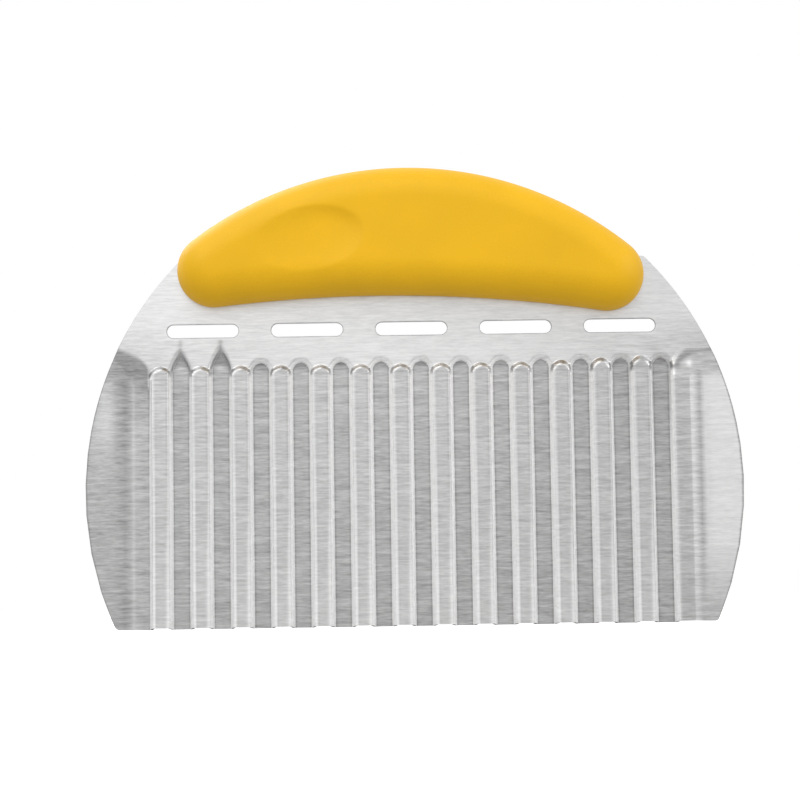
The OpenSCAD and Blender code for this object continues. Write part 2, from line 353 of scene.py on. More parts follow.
def matte_plastic(name):
    """Moulded plastic with a fine grain and slightly clouded colour."""
    material, tree = new_material(name)
    output = node(tree, "ShaderNodeOutputMaterial")
    shader = node(tree, "ShaderNodeBsdfPrincipled", {"Specular IOR Level": 0.35})
    link(tree, shader.outputs["BSDF"], output.inputs["Surface"])
    cloud = stretched_noise(tree, EVEN, PLASTIC_CLOUD, detail=2.0, rough=0.5)
    grain = stretched_noise(tree, EVEN, PLASTIC_GRAIN, detail=3.0, rough=0.65)
    change = span(tree, added(tree, cloud, grain), *PLASTIC_CHANGE)
    link(tree, tinted(tree, sizes("finishes").plastic, change), shader.inputs["Base Color"])
    link(tree, span(tree, grain, *NOISE_SPAN, *PLASTIC_ROUGH), shader.inputs["Roughness"])
    bumped(tree, grain, shader, strength=0.30, distance=PLASTIC_HEIGHT)
    return material


def floor_finish(name, colour):
    """White to the camera, with the object's shadow kept."""
    material, tree = new_material(name)
    output = node(tree, "ShaderNodeOutputMaterial")
    rays = node(tree, "ShaderNodeLightPath")
    plain = node(tree, "ShaderNodeBsdfDiffuse", {"Color": (*colour, 1.0)})
    shaded = node(tree, "ShaderNodeBsdfDiffuse", {"Color": (*(SHADOW_SHARE,) * 3, 1.0)})
    white = node(tree, "ShaderNodeEmission", {"Strength": FLOOR_WHITE})
    both = node(tree, "ShaderNodeAddShader")
    link(tree, shaded.outputs["BSDF"], both.inputs[0])
    link(tree, white.outputs["Emission"], both.inputs[1])
    mix = node(tree, "ShaderNodeMixShader")
    link(tree, rays.outputs["Is Camera Ray"], mix.inputs["Fac"])
    link(tree, plain.outputs["BSDF"], mix.inputs[1])
    link(tree, both.outputs["Shader"], mix.inputs[2])
    link(tree, mix.outputs["Shader"], output.inputs["Surface"])
    return material


# The floor that the camera sees: mostly its own white, and the rest lit, so that a shadow shows
SHADOW_SHARE = 0.8
FLOOR_WHITE = 0.56


def studio_world(strength, mirrored):
    """A plain pale room, white to the camera."""
    world = bpy.data.worlds.new("studio")
    world.use_nodes = True
    tree = world.node_tree
    rays = node(tree, "ShaderNodeLightPath")
    inside = span(tree, rays.outputs["Is Glossy Ray"], 0.0, 1.0, strength, mirrored)
    seen = node(tree, "ShaderNodeMath", operation="MAXIMUM")
    link(tree, inside, seen.inputs[0])
    link(tree, rays.outputs["Is Camera Ray"], seen.inputs[1])
    background = tree.nodes["Background"]
    background.inputs["Color"].default_value = (1, 1, 1, 1)
    link(tree, seen.outputs["Value"], background.inputs["Strength"])
    return world


# Shape of the pressed sheet

def bend(t):
    """Goes from 0 to 1 along a flank, with its two bends rounded."""
    t = min(max(t, 0.0), 1.0)
    return BEND_STRAIGHT * t + (1 - BEND_STRAIGHT) * t * t * (3 - 2 * t)


# Share of a flank's slope that is straight
BEND_STRAIGHT = 0.35


class Waves:
    """Depths of the pressed sheet, from the blade's sizes."""

    def __init__(self, blade):
        self.size = blade
        self.half_depth = blade.wave_depth / 2
        self.trough_flat = blade.wave_pitch - blade.crest_flat - 2 * blade.flank_run
        self.start = blade.wave_shift - blade.wave_count * blade.wave_pitch / 2
        self.last = blade.wave_count - 1

    def trough_x(self, k):
        """Middle of a trough."""
        return self.start + k * self.size.wave_pitch + self.trough_flat / 2

    def crest_x(self, k):
        """Middle of a crest."""
        size = self.size
        return self.trough_x(k) + (self.trough_flat + size.crest_flat) / 2 + size.flank_run

    def field(self):
        """Where the waves' field begins and ends."""
        return self.start, self.crest_x(self.last) + self.size.crest_flat / 2

    def share(self, dx, z, half_flat, top, arch, point):
        """1 on a wave's flat, falling to 0 over its flank and round its arched top."""
        flank = self.size.flank_run
        dz = z - (top - arch - ARCH_REACH * flank)
        away = abs(dx) - half_flat
        if dz > 0:
            across, up = abs(dx) / (half_flat + flank), dz / (arch + flank)
            reach = (across ** point + up ** point) ** (1 / point)
            away = reach * (half_flat + flank) - half_flat
        return 1 - bend(away / flank)

    def margin(self, out, z, top):
        """Depth share of a margin, at a distance out past its fold."""
        size = self.size
        run = min(max(out / size.margin_run, 0.0), 1.0)
        rest = size.margin_offset / self.half_depth
        share = 1 - (1 - rest) * (1 - (1 - run) ** 2)
        return min(share, max(0.0, (top - z) / size.margin_slope))

    def past_corner(self, past_foot, below_top, long):
        """Distance out past a margin's edge, whose corner is round or drawn out sideways."""
        radius = self.size.margin_corner
        dx, dz = (past_foot + long) * radius / long, radius - below_top
        if dx <= 0 or dz <= 0:
            return max(past_foot, -below_top)
        away = math.hypot(dx, dz)
        return (away - radius) * away / math.hypot(dx * radius / long, dz)

    def corner(self, past_foot, below_top, long):
        """1 within a margin's rounded corner, falling to 0 over its flank."""
        return 1 - bend(self.past_corner(past_foot, below_top, long) / self.size.flank_run)

    def left_top(self, x):
        """Height of the left margin's sloping top edge."""
        foot = self.trough_x(0) + self.trough_flat / 2
        rise = max(0.0, foot - x) * math.tan(self.size.left_margin_tilt)
        return self.size.left_margin_top + rise

    def shares(self, x, z):
        """How far the sheet is pressed back and forward, as shares of half the waves' depth."""
        size = self.size
        k = round((x - self.trough_x(0)) / size.wave_pitch)
        trough = crest = 0.0
        if 1 <= k <= self.last:
            half = self.trough_flat / 2
            top, arch, point = size.trough_top, half * TROUGH_STRETCH, TROUGH_POINT
            if k <= DENTED_TROUGHS:
                top = size.dent_top + (k - 1) * DENT_STEP
                arch, point = size.dent_arch, DENT_POINT
            trough = self.share(x - self.trough_x(k), z, half, top, arch, point)
        k = round((x - self.crest_x(0)) / size.wave_pitch)
        if 0 <= k < self.last:
            half = size.crest_flat / 2
            late = max(0, k - self.last + LATE_CRESTS + 1)
            top = size.crest_top + late * LATE_RISE
            arch = half * (CREST_STRETCH if late else CREST_LOW)
            crest = self.share(x - self.crest_x(k), z, half, top, arch, CREST_POINT)
        foot = self.trough_x(0) + self.trough_flat / 2
        if x < foot + size.flank_run:
            top = self.left_top(x)
            level = (top - z) * math.cos(size.left_margin_tilt)
            trough = self.margin(self.start - x, z, top)
            trough *= self.corner(x - foot, level, size.margin_corner)
        foot = self.crest_x(self.last) - size.crest_flat / 2
        if x > foot - size.flank_run:
            top = size.right_margin_top
            crest = self.margin(x - self.field()[1], z, top)
            crest *= self.corner(foot - x, top - z, size.right_corner)
        return trough, crest

    def tone(self, x, z, pressed):
        """Painted shade in the troughs and painted highlights on the flanks of the front."""
        size = self.size
        value = along_ramp(pressed, FRONT_PAINTED_LIGHT)
        if pressed > 0:
            dx = x - self.trough_x(round((x - self.trough_x(0)) / size.wave_pitch))
            # Painted shade along the borders of a trough's floor
            border = along_ramp(abs(dx) / (self.trough_flat / 2), TROUGH_BORDER_SHADE)
            value *= 1 + (border - 1) * ease(pressed, *FLOOR_BLEND)
        else:
            dx = x - self.crest_x(round((x - self.crest_x(0)) / size.wave_pitch))
            # Painted highlights and dark lines along a crest's edges, and a painted highlight low
            # down
            flat = CREST_FOOT + (1 - CREST_FOOT) * ease(z, 0, CREST_REACH)
            edge = along_ramp(dx / (flat * size.crest_flat / 2), CREST_EDGE_LIGHT_AND_SHADE)
            value *= 1 + (edge - 1) * ease(-pressed, *FLAT_BLEND)
            low_down = 1 - ease(z, 0, CREST_REACH / 2)
            value *= 1 + CREST_GLOW * low_down * ease(-pressed, *FLAT_BLEND)
        # Painted light, brighter in the middle of the blade
        value *= 1 + MIDDLE_GLOW * spot(x, 0, MIDDLE_REACH, 1)
        # The arched tops take their painted shade
        low, high = FLOOR_CAP if pressed > FLOOR_LEAST else ARCH_CAP
        value += (self.cap_painted_light(x, dx, pressed) - value) * ease(z, low, high)
        # Near the tops, painted light in the middle and painted shade at the sides
        if pressed > SHADE_LEAST:
            band = ease(z, *TOP_SHADE_FROM) * (1 - ease(z, *TOP_SHADE_TO))
            value *= 1 + band * (TOP_MIDDLE - TOP_SIDES * (x / self.start) ** 2)
        # Painted highlight and painted shade on the pointed troughs
        for k in range(1, DENTED_TROUGHS + 1):
            dx = x - self.trough_x(k)
            value += DENT_GLINT * spot(dx, z - DENT_GLINT_Z, *DENT_GLINT_REACH)
            value -= DENT_CREASE_SHADE * spot(dx, z - DENT_CREASE_Z, *DENT_CREASE_REACH)
        start, end = self.field()
        if x < start + self.trough_flat:
            value = self.left_painted_light(x, z, pressed, value)
        if x > end - size.crest_flat:
            value = self.right_painted_light(x, z, pressed, value)
        return value

    def cap_painted_light(self, x, dx, pressed):
        """Painted shade and highlight of the arched tops, at a distance dx from a wave's middle."""
        cap = along_ramp(pressed, ARCH_PAINTED_LIGHT)
        if pressed < 0:
            half = self.size.crest_flat / 2
            past = ease(abs(dx), half - ARCH_FADE, half + ARCH_FADE)
            cap += (ARCH_SIDE_TONE - cap) * past * ease(-pressed, *SIDE_BLEND)
        slope = ease(pressed, *SLOPE_BLEND) * (1 - ease(pressed, *SLOPE_END))
        return cap * (1 + slope * (DENT_FADE + (CAP_FADE - DENT_FADE) * ease(x, *CAP_FADE_ALONG)))

    def left_painted_light(self, x, z, pressed, value):
        """Painted light and shade of the left margin, blended into the waves' own."""
        out = self.start - x
        side = along_ramp(out / MM, LEFT_PAINTED_LIGHT)
        side += LEFT_GLOW * spot(x - LEFT_GLOW_X, z - LEFT_GLOW_Z, *LEFT_GLOW_REACH)
        side *= 1 - LEFT_SHADE * ease(z, *LEFT_SHADE_FROM)
        dark = LEFT_TOP_FOOT - LEFT_TOP_FALL * out
        side += (LEFT_TOP_TONE - side) * ease(z, dark, dark + LEFT_TOP_RUN)
        return value + (side - value) * ease(pressed, *MARGIN_BLEND) * (1 - ease(-out, *LEFT_END))

    def right_painted_light(self, x, z, pressed, value):
        """Painted light and shade of the right margin, blended into the waves' own."""
        size = self.size
        out = x - self.field()[1]
        side = along_ramp(out / MM, RIGHT_PAINTED_LIGHT)
        foot = (1 - ease(z, *RIGHT_FOOT)) * ease(out, *RIGHT_FOOT_ALONG)
        side += (RIGHT_FOOT_TONE - side) * foot
        side += (RIGHT_TOP_TONE - side) * ease(z, *RIGHT_TOP)
        below_top = size.right_margin_top - z
        inward = -self.past_corner(-size.crest_flat - out, below_top, size.right_corner)
        rim = (1 - ease(inward, *RIGHT_RIM)) * ease(z, *RIGHT_RIM_FROM)
        side += (RIGHT_RIM_TONE - side) * rim
        side += RIGHT_GLINT * spot(out - RIGHT_GLINT_OUT, z - RIGHT_GLINT_Z, *RIGHT_GLINT_REACH)
        return value + (side - value) * ease(-pressed, *MARGIN_BLEND) * (1 - ease(-out, *RIGHT_END))


def along_ramp(value, ramp):
    """Value of a ramp of (place, value) pairs."""
    if value <= ramp[0][0]:
        return ramp[0][1]
    for (low, first), (high, second) in zip(ramp, ramp[1:]):
        if value <= high:
            return first + (second - first) * (value - low) / (high - low)
    return ramp[-1][1]


def ease(value, low, high):
    """Goes smoothly from 0 at the low value to 1 at the high one."""
    t = min(max((value - low) / (high - low), 0.0), 1.0)
    return t * t * (3 - 2 * t)


def spot(dx, dz, wide, high):
    """A soft patch, 1 at its middle."""
    return math.exp(-(dx / wide) ** 2 - (dz / high) ** 2)


# Tones against how far the sheet is pressed forward (-1) or back (1): in general, on the
# arched tops, and on the back. They were chosen so that the front's forms look as
# bright as in the photograph.
# These ramps are painted light: painted shade in troughs and arches, highlights on flanks
FRONT_PAINTED_LIGHT = ((-1.0, 0.66), (-0.99, 0.66), (-0.965, 0.62), (-0.92, 0.95), (-0.85, 1.16),
               (0.84, 1.16), (0.92, 0.7), (0.98, 0.48), (1.0, 0.56))
ARCH_PAINTED_LIGHT = ((-1.0, 0.63), (-0.999, 0.50), (-0.99, 0.40), (-0.95, 0.44), (-0.88, 0.56),
              (-0.1, 0.57), (-0.02, 0.62), (0.0, 0.88), (0.04, 0.86), (0.15, 0.74),
              (0.3, 0.70), (0.8, 0.70), (0.93, 0.54), (1.0, 0.40))
BACK_PAINTED_LIGHT = ((-1.0, 0.52), (-0.96, 0.38), (-0.86, 0.7), (-0.7, 1.1), (0.0, 0.86),
              (0.7, 1.1), (0.9, 0.66), (1.0, 0.70))
# Factors on the painted light against the share of half a flat's width: painted shade along
# a trough floor's borders, painted highlights and dark lines along a crest's edges
TROUGH_BORDER_SHADE = ((0.0, 1.0), (0.72, 1.0), (0.9, 0.76), (1.0, 0.66))
CREST_EDGE_LIGHT_AND_SHADE = ((-1.0, 1.42), (-0.92, 1.36), (-0.84, 0.98), (-0.62, 0.98), (-0.55, 1.02),
               (0.68, 1.02), (0.76, 1.12), (0.82, 1.04), (0.87, 0.88), (0.95, 1.1),
               (1.0, 1.35), (1.4, 1.4))
# Spans of the pressing over which a trough's floor, a crest's flat, the arches' sides, the
# slopes above the troughs and the margins take their own painted light and shade
FLOOR_BLEND = (0.93, 0.99)
FLAT_BLEND = (0.8, 0.9)
SIDE_BLEND = (0.02, 0.1)
SLOPE_BLEND, SLOPE_END = (0.01, 0.12), (0.85, 0.95)
MARGIN_BLEND = (0.02, 0.12)
# Least pressing of a trough's floor, and of what the shade near the tops falls on
FLOOR_LEAST, SHADE_LEAST = 0.8, -0.2
# Share of a crest's width that keeps its darker painted tone at its foot, and the height over
# which that grows
CREST_FOOT, CREST_REACH = 0.84, 55 * MM
# Painted highlight low down on the crests' flats
CREST_GLOW = 0.12
# Heights from and to which the tops take painted shade, on the slopes and the troughs' floors
ARCH_CAP = (65.4 * MM, 66.8 * MM)
FLOOR_CAP = (66.9 * MM, 68.8 * MM)
# Painted light, brighter in the middle of the blade, and its reach
MIDDLE_GLOW, MIDDLE_REACH = 0.04, 38 * MM
# The arches' painted dark line ends past the crests' flats, in this painted tone
ARCH_FADE, ARCH_SIDE_TONE = 0.4 * MM, 0.62
# Painted highlight on the slopes above the troughs, weaker above the pointed ones
CAP_FADE, DENT_FADE, CAP_FADE_ALONG = 0.6, 0.22, (-48 * MM, -40 * MM)
# Near the tops the sheet and the troughs get painted light in the middle and painted shade at
# the sides
TOP_SHADE_FROM = (35 * MM, 66 * MM)
TOP_SHADE_TO = (72 * MM, 82 * MM)
TOP_MIDDLE, TOP_SIDES = 0.05, 0.21
# Painted highlight spot, and painted shade along the crease of a pointed trough: strength,
# height, reach across and upward
DENT_GLINT, DENT_GLINT_Z, DENT_GLINT_REACH = 0.26, 68.1 * MM, (1.5 * MM, 0.8 * MM)
DENT_CREASE_SHADE, DENT_CREASE_Z, DENT_CREASE_REACH = 0.25, 75.0 * MM, (0.6 * MM, 1.5 * MM)
# Painted light and shade of the left margin against the distance in millimetres past the fold;
# on it a painted dark top, painted shade in its upper part and a painted highlight spot
LEFT_PAINTED_LIGHT = ((-4.5, 0.57), (-3.0, 0.57), (-0.9, 0.60), (0.0, 0.72), (0.8, 0.60),
              (2.0, 0.50), (3.6, 0.54), (5.0, 0.56), (8.0, 0.55), (12.0, 0.56))
LEFT_TOP_TONE = 0.47
LEFT_TOP_FOOT, LEFT_TOP_RUN, LEFT_TOP_FALL = 65.4 * MM, 1.6 * MM, 0.2
LEFT_SHADE, LEFT_SHADE_FROM = 0.12, (50 * MM, 60 * MM)
LEFT_GLOW, LEFT_GLOW_X, LEFT_GLOW_Z = 0.24, -81.0 * MM, 57 * MM
LEFT_GLOW_REACH = (3.2 * MM, 9 * MM)
LEFT_END = (3.9 * MM, 4.6 * MM)
# The same painted light and shade for the right margin, with a painted dark rim, painted shade
# at its top and its foot, and a painted highlight spot
RIGHT_PAINTED_LIGHT = ((-3.8, 0.65), (-1.0, 0.65), (0.0, 0.68), (0.9, 0.72), (1.6, 0.66),
               (2.6, 0.54), (4.0, 0.88), (6.0, 0.95), (12.0, 0.95))
RIGHT_TOP_TONE, RIGHT_TOP = 0.64, (63 * MM, 67 * MM)
RIGHT_RIM_TONE, RIGHT_RIM, RIGHT_RIM_FROM = 0.40, (0.9 * MM, 2.0 * MM), (65.5 * MM, 67.5 * MM)
RIGHT_FOOT_TONE, RIGHT_FOOT, RIGHT_FOOT_ALONG = 0.66, (2 * MM, 20 * MM), (0, 4 * MM)
RIGHT_GLINT, RIGHT_GLINT_OUT, RIGHT_GLINT_Z = 0.4, 0.2 * MM, 67.6 * MM
RIGHT_GLINT_REACH = (0.8 * MM, 0.9 * MM)
RIGHT_END = (3.3 * MM, 4.0 * MM)
# Painted shade along the sheet's sheared rim, at the outline's sides and round the slots
RIM_PAINTED_SHADE = 0.32
# Fullness of the arched tops, where 2 is round and less is pointed, and their height as a
# factor on half a flat's width. The last crests, which rise higher, are stretched, and the
# other ones are low.
TROUGH_POINT, TROUGH_STRETCH = 1.9, 1.05
CREST_POINT, CREST_STRETCH, CREST_LOW = 1.7, 1.1, 0.75
# Share of a flank's width that lies above a wave's stated top
ARCH_REACH = 0.8
# The first troughs run out in points, each one higher
DENTED_TROUGHS = 2
DENT_POINT = 1.25
DENT_STEP = 0.8 * MM
# The last crests rise higher, one after the other
LATE_CRESTS = 3
LATE_RISE = 0.45 * MM
# How far the ground edge lies higher on a crest than in a trough
GROUND_RISE = 0.34 * MM


def blade_columns(waves):
    """Places of the grid's columns across the waves, closer together on the flanks."""
    size = waves.size
    flank, crest = (size.flank_run, FLANK_SHARES), (size.crest_flat, FLAT_SHARES)
    columns, x = [], waves.start
    for k in range(size.wave_count):
        across = FINE_SHARES if k <= DENTED_TROUGHS else FLAT_SHARES
        for width, shares in ((waves.trough_flat, across), flank, crest, flank):
            columns += [x + share * width for share in shares]
            x += width
    end = waves.field()[1]
    return [c for c in columns if c < end - GRID_LEAST] + [end]


# Places of the columns, as shares of a flank's or a flat's width
FLANK_SHARES = (0.0, 0.17, 0.34, 0.5, 0.66, 0.83)
FLAT_SHARES = (0.0, 0.06, 0.18, 0.32, 0.5, 0.68, 0.82, 0.94)
FINE_SHARES = (0.0, 0.06, 0.13, 0.21, 0.29, 0.37, 0.45, 0.5, 0.55, 0.63, 0.71, 0.79, 0.87, 0.94)
# Least distance of a column from the last one
GRID_LEAST = 0.05 * MM
# Columns in each margin, and how much they crowd towards the waves
MARGIN_COLUMNS = 26
MARGIN_CROWD = 1.25
# Heights of the rows in millimetres, in part as first, last and step. The second row has to
# lie above the rise of the ground edge.
LOW_ROWS = (0.0, 0.5, 1.0, 3, 10, 20, 30, 38, 46, 52, 56, 59, 61, 62.5)
ARCH_ROWS = (63.5, 74.0, 0.25)
SLOT_ROWS = (74.35, 81.4, 0.35)
HIGH_ROWS = (82.5, 84, 86, 88, 90)
# The rows in the tang, as shares of the way to its top
TANG_ROWS = (0.08, 0.2, 0.36, 0.55, 0.77, 1.0)


def blade_rows():
    """Heights of the grid's rows below the tang."""
    rows = list(LOW_ROWS)
    for low, high, step in (ARCH_ROWS, SLOT_ROWS):
        rows += [low + i * step for i in range(int((high - low) / step) + 1)]
    return [z * MM for z in (*rows, *HIGH_ROWS)]


# How far the lower corners are rounded off
FOOT_ROUND, FOOT_HEIGHT = 0.5 * MM, 1.0 * MM
# Half of the width in which the columns stay upright, to keep the slots clear of their
# narrowing, and the height above which they narrow
EVEN_HALF = 66 * MM
STRAIGHT_TOP = 77.5 * MM


def outline_half(blade, z):
    """Half of the round outline's width at a height."""
    return math.sqrt(blade.radius ** 2 - (z - blade.centre) ** 2)


def tang_top(blade, x):
    """Height of the sheet's hidden upper edge: the round outline, drawn in inside the handle."""
    handle = sizes("handle_sizes")
    local = x - handle.shift
    shoulder = handle.base + TANG_SHOULDER - local * math.tan(handle.tilt)
    radius = handle.crown - TANG_INSET
    arc = handle.base - handle.crown + handle.height
    arc += math.sqrt(max(0.0, radius ** 2 - local ** 2)) - local * math.tan(handle.tilt)
    circle = blade.centre + math.sqrt(max(0.0, blade.radius ** 2 - x * x))
    return min(circle, max(shoulder, arc))


# Height of the tang's shoulders over the handle's underside, and its distance from the crown
TANG_SHOULDER = 11.2 * MM
TANG_INSET = 5.0 * MM


def cut_slot(bm, x, z, size):
    """Opens the flat sheet and draws its rim in to a round-ended slot, with painted shade on it."""
    half_long, half_high = size.length / 2 + SLOT_FRAME, size.height / 2 + SLOT_FRAME
    inside = [f for f in bm.faces
              if abs(f.calc_center_median().x - x) < half_long
              and abs(f.calc_center_median().z - z) < half_high]
    bmesh.ops.delete(bm, geom=inside, context="FACES_KEEP_BOUNDARY")
    rim = [e for e in bm.edges if e.is_boundary
           and all(abs(v.co.x - x) < half_long + SLOT_FRAME
                   and abs(v.co.z - z) < half_high + SLOT_FRAME for v in e.verts)]
    straight = (size.length - size.height) / 2
    for gap in (SLOT_RIM, 0.0):
        grown = bmesh.ops.extrude_edge_only(bm, edges=rim)["geom"]
        rim = [g for g in grown if isinstance(g, bmesh.types.BMEdge) and g.is_boundary]
        for v in {v for e in rim for v in e.verts}:
            along = min(max(v.co.x - x, -straight), straight)
            middle = Vector((x + along, 0, z))
            v.co = middle + (v.co - middle).normalized() * (size.height / 2 + gap)
            # The rim's painted light goes from the sheet's to painted shade at the edge
            tone = along_ramp(0, ARCH_PAINTED_LIGHT) if gap else RIM_PAINTED_SHADE
            v[bm.verts.layers.float["front_painted_light"]] = tone


# How far past a slot the grid is opened, and the width of the painted dark rim round a slot
SLOT_FRAME = 0.8 * MM
SLOT_RIM = 0.25 * MM


def to_object(bm, name):
    """Links a finished mesh's object at the origin."""
    mesh = bpy.data.meshes.new(name)
    bm.to_mesh(mesh)
    bm.free()
    piece = bpy.data.objects.new(name, mesh)
    bpy.context.scene.collection.objects.link(piece)
    return piece


def smooth(piece, angle):
    """Shades a piece smooth, apart from its edges over an angle in degrees."""
    piece.data.shade_smooth()
    piece.data.set_sharp_from_angle(angle=math.radians(angle))


def apply_modifiers(piece):
    """Keeps what a piece's modifiers make as its own mesh."""
    bpy.context.view_layer.update()
    shown = piece.evaluated_get(bpy.context.evaluated_depsgraph_get())
    made = bpy.data.meshes.new_from_object(shown)
    piece.modifiers.clear()
    piece.data = made


def blade_sheet(blade, waves):
    """The pressed sheet as one surface, with its outline, its waves and its slots."""
    columns, rows = blade_columns(waves), blade_rows()
    margin = [((j + 1) / MARGIN_COLUMNS) ** MARGIN_CROWD for j in range(MARGIN_COLUMNS)]
    across = 2 * MARGIN_COLUMNS + len(columns) - 1
    upward = len(rows) + len(TANG_ROWS) - 1
    bm = bmesh.new()
    bmesh.ops.create_grid(bm, x_segments=across, y_segments=upward, size=1)
    front_painted_light = bm.verts.layers.float.new("front_painted_light")
    back_painted_light = bm.verts.layers.float.new("back_painted_light")
    widest = outline_half(blade, STRAIGHT_TOP)
    for v in bm.verts:
        i = round((v.co.x + 1) / 2 * across)
        j = round((v.co.y + 1) / 2 * upward)
        z = rows[min(j, len(rows) - 1)]
        level = min(z, STRAIGHT_TOP)
        edge = outline_half(blade, level) - FOOT_ROUND * max(0.0, 1 - z / FOOT_HEIGHT) ** 2
        if i < MARGIN_COLUMNS:
            x = columns[0] - margin[MARGIN_COLUMNS - 1 - i] * (edge + columns[0])
        elif i > across - MARGIN_COLUMNS:
            x = columns[-1] + margin[i - across + MARGIN_COLUMNS - 1] * (edge - columns[-1])
        else:
            x = columns[i - MARGIN_COLUMNS]
        out = abs(x) - EVEN_HALF
        if out > 0 and z > STRAIGHT_TOP:
            out *= (outline_half(blade, z) - EVEN_HALF) / (widest - EVEN_HALF)
            x = math.copysign(EVEN_HALF + out, x)
        trough, crest = waves.shares(x, z)
        pressed = trough - crest
        # Painted light and shade of the front and the back, kept on the sheet
        v[front_painted_light] = waves.tone(x, z, pressed)
        v[back_painted_light] = along_ramp(pressed, BACK_PAINTED_LIGHT)
        # Painted shade along the outline's sides
        if i in (0, across):
            v[front_painted_light] = min(v[front_painted_light], RIM_PAINTED_SHADE)
        if j >= len(rows):
            z += (tang_top(blade, x) - z) * TANG_ROWS[j - len(rows)]
        if j == 0:
            z = GROUND_RISE * (1 - pressed) / 2
        v.co = (x, pressed * waves.half_depth, z)
    bmesh.ops.remove_doubles(bm, verts=bm.verts, dist=BLADE_MERGE)
    slots = sizes("slot_sizes")
    for i in range(slots.count):
        cut_slot(bm, slots.shift + (i - (slots.count - 1) / 2) * slots.pitch, slots.level, slots)
    bmesh.ops.recalc_face_normals(bm, faces=bm.faces)
    if sum(f.normal.y * f.calc_area() for f in bm.faces) > 0:
        bmesh.ops.reverse_faces(bm, faces=bm.faces)
    return bm


# Distances under which two points are one
BLADE_MERGE, SHELL_MERGE = 0.01 * MM, 0.002 * MM


# Shape of the handle

class Handle:
    """Outline and rounding of the handle, in its own frame."""

    def __init__(self, size):
        self.size = size
        self.drop = size.crown - size.height
        low, high = size.underside + size.end, size.crown - size.end
        self.end_v = (low ** 2 - high ** 2 - size.underside ** 2 + self.drop ** 2) / (
            2 * (size.underside - self.drop))
        self.end_u = math.sqrt(low ** 2 - (self.end_v + size.underside) ** 2)
        self.half_length = self.end_u + size.end
        self.crown_end = self.end_u * size.crown / high
        self.under_end = self.end_u * size.underside / low
        turn = Matrix.Rotation(size.tilt, 4, "Y")
        self.place = Matrix.Translation((size.shift, 0, size.base)) @ turn

    def top(self, u):
        """Height of the crown over the underside's middle, at a distance along the handle."""
        if abs(u) < self.crown_end:
            return math.sqrt(self.size.crown ** 2 - u * u) - self.drop
        return self.end_v + self.end_arc(u)

    def bottom(self, u):
        """The same for the underside."""
        if abs(u) < self.under_end:
            return math.sqrt(self.size.underside ** 2 - u * u) - self.size.underside
        return self.end_v - self.end_arc(u)

    def end_arc(self, u):
        """Half of a round end's height, at a distance along the handle."""
        return math.sqrt(max(0.0, self.size.end ** 2 - (abs(u) - self.end_u) ** 2))

    def inset(self, u, v):
        """Distance in from the outline."""
        size = self.size
        u = abs(u)
        du, dv = u - self.end_u, v - self.end_v
        past_crown = du * (self.end_v + self.drop) - dv * self.end_u > 0
        past_under = du * (self.end_v + size.underside) - dv * self.end_u > 0
        if past_crown and past_under:
            return size.end - math.hypot(du, dv)
        return min(size.crown - math.hypot(u, v + self.drop),
                   math.hypot(u, v + size.underside) - size.underside)

    def face(self, inset):
        """Depth of a shell's face at a distance in from the outline."""
        size = self.size
        t = max(0.0, 1 - max(0.0, inset) / (size.end - size.land))
        return size.depth * max(0.0, 1 - t ** size.fullness) ** (1 / size.fullness)

    def dish(self, u, v):
        """Depth of the thumb dish, which is deepest off its middle."""
        size = self.size
        middle, beside = ((self.top(w) + self.bottom(w)) / 2
                          for w in (size.dish_offset, size.dish_offset - MM))
        slope = math.atan2(beside - middle, MM)
        place = Vector((u + size.dish_offset, v - middle + size.dish_drop))
        place.rotate(Matrix.Rotation(-slope, 2))
        place = Vector((2 * place.x / size.dish_length, 2 * place.y / size.dish_height))
        away = place - Vector(DISH_DEEPEST)
        if away.length < NEARLY_NONE:
            return size.dish_depth
        ahead, reach = away.dot(DISH_DEEPEST), 1 - Vector(DISH_DEEPEST).length_squared
        past = math.sqrt(ahead ** 2 + away.length_squared * reach)
        out = away.length_squared / (past - ahead)
        return size.dish_depth * max(0.0, 1 - out * out) ** DISH_RIM


# Where the dish is deepest, as shares of its half length and half height
DISH_DEEPEST = (0.55, 0.32)
# Sharpness of the dish's rim: 0.5 is a plain bowl, more is softer
DISH_RIM = 0.9
# A length that counts as none
NEARLY_NONE = 1e-6
# Faces of a shell's grid, along the handle and across it
SHELL_LONG, SHELL_ACROSS = 220, 84
# Depth of the parting line's groove
SEAM_INSET = 0.15 * MM


def handle_shell(name, handle, side, dished):
    """One shell, front (-1) or back (1), from a grid laid over the outline."""
    bm = bmesh.new()
    bmesh.ops.create_grid(bm, x_segments=SHELL_LONG, y_segments=SHELL_ACROSS, size=1)
    for vert in bm.verts:
        u = handle.half_length * math.sin(vert.co.x * math.pi / 2)
        top, bottom = handle.top(u), handle.bottom(u)
        v = (top + bottom) / 2 + (top - bottom) / 2 * math.sin(vert.co.y * math.pi / 2)
        deep = handle.face(handle.inset(u, v))
        if vert.is_boundary:
            u -= SEAM_INSET * round(vert.co.x)
            v -= SEAM_INSET * round(vert.co.y)
            deep = 0
        if dished:
            deep -= handle.dish(u, v)
        vert.co = (u, side * deep, v)
    bmesh.ops.remove_doubles(bm, verts=bm.verts, dist=SHELL_MERGE)
    rim = [e for e in bm.edges if e.is_boundary]
    bmesh.ops.contextual_create(bm, geom=rim)
    bmesh.ops.recalc_face_normals(bm, faces=bm.faces)
    bm.transform(handle.place)
    piece = to_object(bm, name)
    smooth(piece, SHELL_SHARP)
    return piece


# Angles in degrees over which an edge is shaded sharp
BLADE_SHARP, SHELL_SHARP = 40, 50


# Pieces

